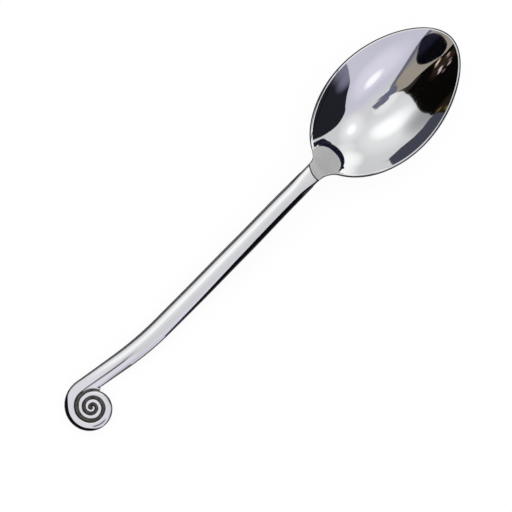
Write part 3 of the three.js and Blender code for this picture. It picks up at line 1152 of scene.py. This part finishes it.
for name, card in cards.items():
    outline = roundedOutline(chart(card["corners"]), dome["cornerSteps"])
    middle = sum(outline, Vector((0, 0))) / len(outline)
    further = card.get("further", 0)
    rings = []
    for ring in range(dome["rings"]):
        rings.append([domePlace(place.lerp(middle, ring / dome["rings"]), further) for place in outline])
    mesh = bmesh.new()
    _, last = growLoops(mesh, rings)
    closeLoop(mesh, last, domePlace(middle, further))
    onlyForMetal(stageObject(name, mesh, glow(name, card["colour"], card.get("patches", ()))))
outline = [domePlace(place) for place in chart(slate["corners"])]
onlyForMetal(flatObject("card_slate", [outline], glow("card_slate", slate["colour"])))

# Flags beside the spoon, and a dark sheet of painted floor shade under it, which give its edges their dark lines, in
# millimetres
floorGap = 0.2  # under the flat sheets of painted floor shade
flags = {
    # painted shade: a dark sheet on the floor under the spoon, standing in for its shadow there
    "floor_shade_sheet": {
        "outline": [(-124, -30, floorGap), (-124, 26, floorGap), (-60, 30, floorGap), (26, 27, floorGap),
                    (26, -29, floorGap), (-60, -29, floorGap)],
        "colour": (0.07, 0.07, 0.074),
    },
    "flag_stem_left": {
        "outline": [(44, 30, 0), (44, 30, 14), (28, 30, 14), (24, 30, 23), (-30, 30, 20), (-90, 34, 12),
                    (-114, 34, 12), (-114, 34, 0)],
        "colour": (0.11, 0.11, 0.112),
    },
    "flag_stem_right": {
        "outline": [(44, -29, 0), (44, -29, 14), (31, -29, 15), (26, -29, 30), (19, -29, 46), (-10, -29, 46),
                    (-58, -29, 8), (-58, -29, 0)],
        "colour": (0.004, 0.004, 0.006),
    },
}
for name, flag in flags.items():
    metalCard(name, [flag["outline"]], glow(name, flag["colour"]))


def standingFlag(name, posts, colour):  # panels between posts, each a foot and a height
    panels = []
    for (foot, height), (nextFoot, nextHeight) in zip(posts, posts[1:]):
        panels.append([(*foot, 0), (*nextFoot, 0), (*nextFoot, nextHeight), (*foot, height)])
    metalCard(name, panels, glow(name, colour))


def beside(angle, distance):  # a place outside the bowl's outline
    x, y = egg(angle, -distance)
    return x + seamX / mm, y


# a standing flag round the bowl, and a ring of painted floor shade on the floor beside it
collar = {"distance": 18, "above": 3, "floor": (2.5, 18), "panels": 90, "colour": (0.06, 0.06, 0.064)}
posts, spokes = [], []
for panel in range(collar["panels"] + 1):
    angle = mix(-touchAngle, touchAngle, panel / collar["panels"])
    posts.append((beside(angle, collar["distance"]), rimHeight(egg(angle)[0]) + collar["above"]))
    spokes.append([(*beside(angle, distance), floorGap) for distance in collar["floor"]])
standingFlag("flag_collar", posts, collar["colour"])
panels = [(near, nextNear, nextFar, far) for (near, far), (nextNear, nextFar) in zip(spokes, spokes[1:])]
metalCard("floor_shade_ring", panels, glow("floor_shade_ring", collar["colour"]))

heelCards = {"corners": [(33, 8), (57, 8), (57, 23), (33, 23)], "height": 45, "colour": (1.05, 1.05, 1.05)}
for side in (1, -1):  # white over the two ends of the rim at the heel
    outline = [(x, side * y, heelCards["height"]) for x, y in heelCards["corners"]]
    metalCard(f"card_heel_{side}", [outline], glow("card_heel", heelCards["colour"]))

scrollStand = {"radius": 24, "panels": 14, "taper": 0.3, "endHeight": 6}  # shared by the flags round the scroll
scrollFlags = {
    "flag_scroll": {"bearings": (148, 298), "height": 42, "colour": (0.006, 0.006, 0.008)},
    "flag_scroll_right": {"bearings": (305, 354), "height": 8, "colour": (0.18, 0.18, 0.184)},
}
for name, flag in scrollFlags.items():
    posts = []
    for panel in range(scrollStand["panels"] + 1):
        share = panel / scrollStand["panels"]
        turn = math.radians(mix(*flag["bearings"], share) + view["turn"])
        foot = scrollCentre + scrollStand["radius"] * Vector((math.cos(turn), math.sin(turn)))
        rise = ease(min(share, 1 - share), 0, scrollStand["taper"])
        posts.append(((foot.x + seamX / mm, foot.y), flag["height"] * rise + scrollStand["endHeight"]))
    standingFlag(name, posts, flag["colour"])

# A long soft light over the stem, graded across
strip = {
    "corners": [(32, 90, 54), (32, -36, 54), (-126, -36, 50), (-126, 90, 50)],
    "span": (-36 * mm, 90 * mm),
    "fade": (-78 * mm, -92 * mm),
    "endTone": (0.84, 0.83, 0.88, 1),
    "stops": [(0, (0.76, 0.76, 0.8)), (0.12, (0.73, 0.73, 0.76)), (0.26, (0.75, 0.75, 0.76)),
              (0.31, (0.83, 0.83, 0.83)), (0.345, (0.97, 0.97, 0.96)), (0.39, (1.1, 1.1, 1.08)),
              (0.45, (1.17, 1.17, 1.14)), (0.53, (1.02, 1.02, 1.01)), (0.64, (0.88, 0.88, 0.89)),
              (1, (0.78, 0.78, 0.8))],
}
stripGlow, wire = newMaterial("strip_light")
place = wire.node("TexCoord", output="Object")
across = axisOf(place, "Y")
across = across.node("MapRange", {}, {"Value": across, "From Min": strip["span"][0], "From Max": strip["span"][1]})
graded = across.node("ValToRGB", {"stops": strip["stops"]}, {0: across})
graded = blendColours(smooth(axisOf(place, "X"), *strip["fade"]), graded, strip["endTone"])
metalCard("strip_light", [strip["corners"]], emit(stripGlow, wire, graded))

# The room: soft patches of light round the dome
room = {
    "base": (0.73, 0.73, 0.73, 1),
    "patches": [
        ((-55, 58), (34, 52), (0.65, 0.635, 0.735)),
        ((-50, 46), (0, 24), (0.8, 0.78, 0.89)),
        ((-47, 39), (0, 8), (1.18, 1.16, 1.2)),
        ((31, 38), (0, 24), (0.95, 0.95, 0.94)),
        ((30, 38), (0, 10), (1.22, 1.22, 1.21)),
        ((112, 40), (0, 40), (0.9, 0.9, 0.89)),
        ((113, 34), (0, 20), (1.22, 1.22, 1.21)),
        ((56, 62), (0, 18), (0.93, 0.93, 0.92)),
        ((71, 76), (0, 19), (1.16, 1.16, 1.13)),
        ((149, 64), (0, 27), (0.36, 0.36, 0.36)),
        ((0, 0), (3, 10), (0.92, 0.92, 0.92)),
    ],
}
world = bpy.data.worlds.new("studio")
bpy.context.scene.world = world
world.use_nodes = True
world.node_tree.nodes.clear()
wire = Wire(world.node_tree)
colour = withPatches(wire, wire.node("TexCoord"), room["base"], room["patches"])
seen = wire.node("LightPath", output="Is Camera Ray")
colour = blendColours(seen, colour, plainWhite)  # past the floor's edge the picture stays white
wire.node("OutputWorld", {}, {"Surface": wire.node("Background", {}, {"Color": colour, "Strength": 1})})
print("stage set")

# Camera, straight above with the spoon on the diagonal

camera = bpy.data.cameras.new("camera")
camera.lens = camera.sensor_width * view["distance"] / view["width"]
eye = bpy.data.objects.new("camera", camera)
eye.location = Vector(view["aim"]) + Vector((0, 0, view["distance"]))
eye.rotation_euler = (0, 0, math.radians(view["turn"]))
bpy.context.scene.collection.objects.link(eye)
bpy.context.scene.camera = eye
bpy.context.scene.view_settings.view_transform = "Standard"
